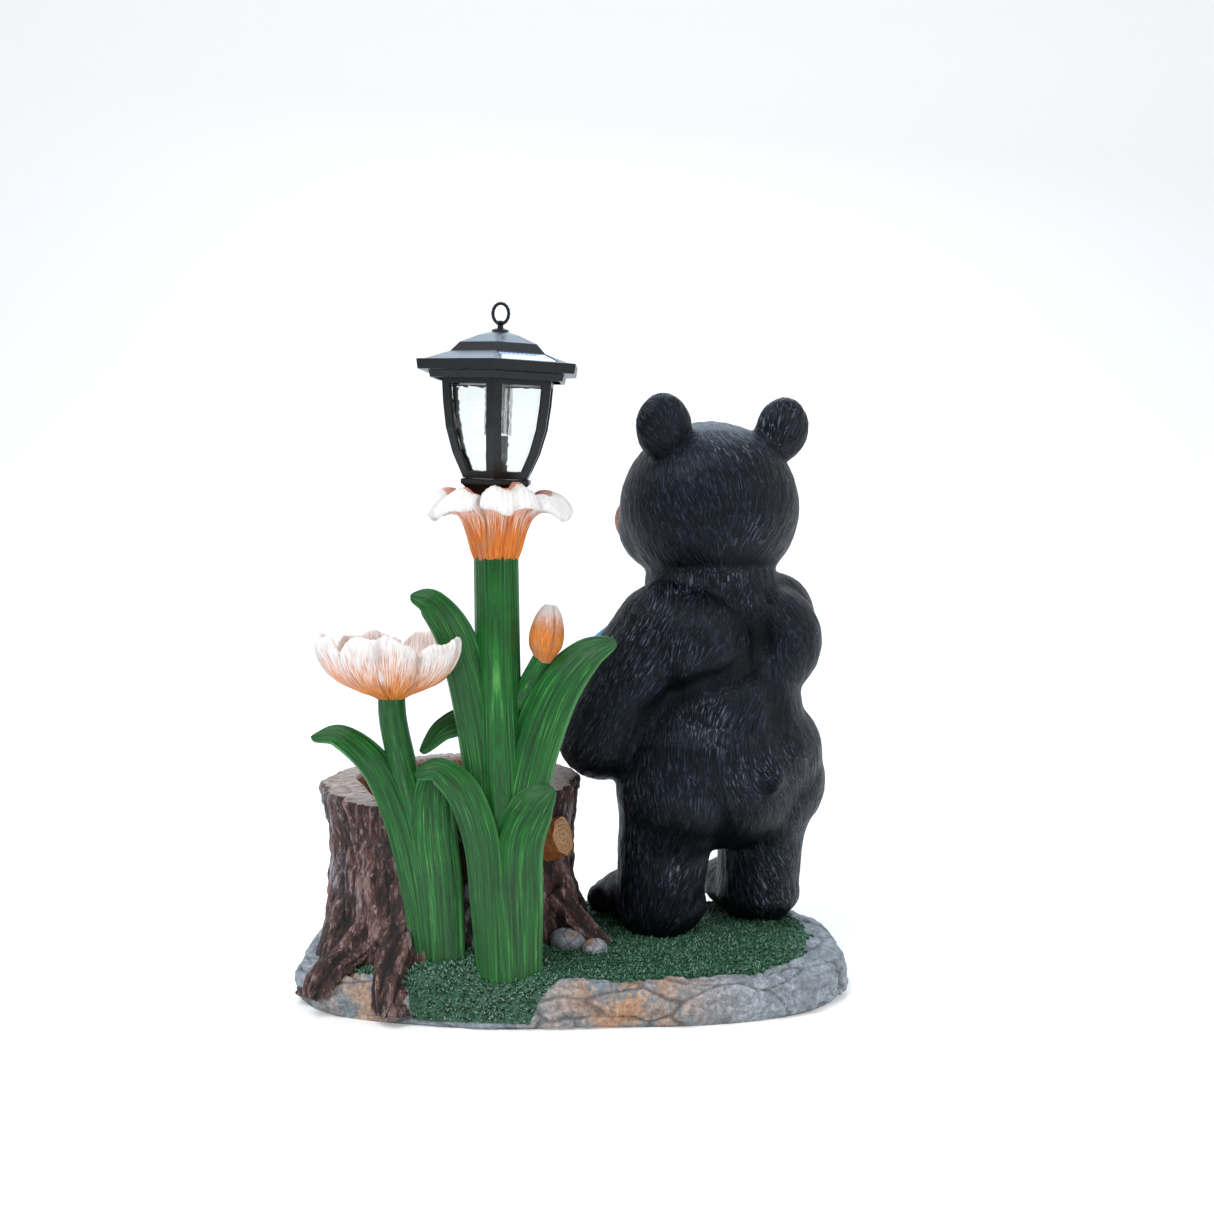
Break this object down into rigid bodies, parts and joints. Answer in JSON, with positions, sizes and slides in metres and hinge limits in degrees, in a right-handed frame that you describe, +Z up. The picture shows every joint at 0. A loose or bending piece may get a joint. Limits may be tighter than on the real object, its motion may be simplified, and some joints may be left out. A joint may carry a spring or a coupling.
{
  "type": "garden statue",
  "caption": "Painted garden statue of a standing bear with a watering can beside a hollow stump planter and flowers that hold a lift-out solar lantern.",
  "frame": {"origin": "middle of the base's underside, on the ground", "axes": "+Z up; +X along the base from the stump towards the bear; +Y towards the side that the bear faces"},
  "size_m": [0.3507, 0.2572, 0.4281],
  "materials": {
    "painted_resin": "cast resin painted by hand, semi-gloss black on the bear",
    "black_plastic": "satin moulded plastic",
    "clear_plastic": "clear, slightly wavy",
    "solar_cell": "glossy resin-covered cell"
  },
  "bodies": {
    "root": {"statue": "painted_resin", "lantern_cup": "black_plastic", "lantern_frame": "black_plastic", "lantern_liner": "clear_plastic", "lantern_roof": "black_plastic", "solar_panel": "solar_cell", "hanging_ring": "black_plastic", "light_housing": "black_plastic", "light_tube": "clear_plastic"}
  },
  "joints": []
}
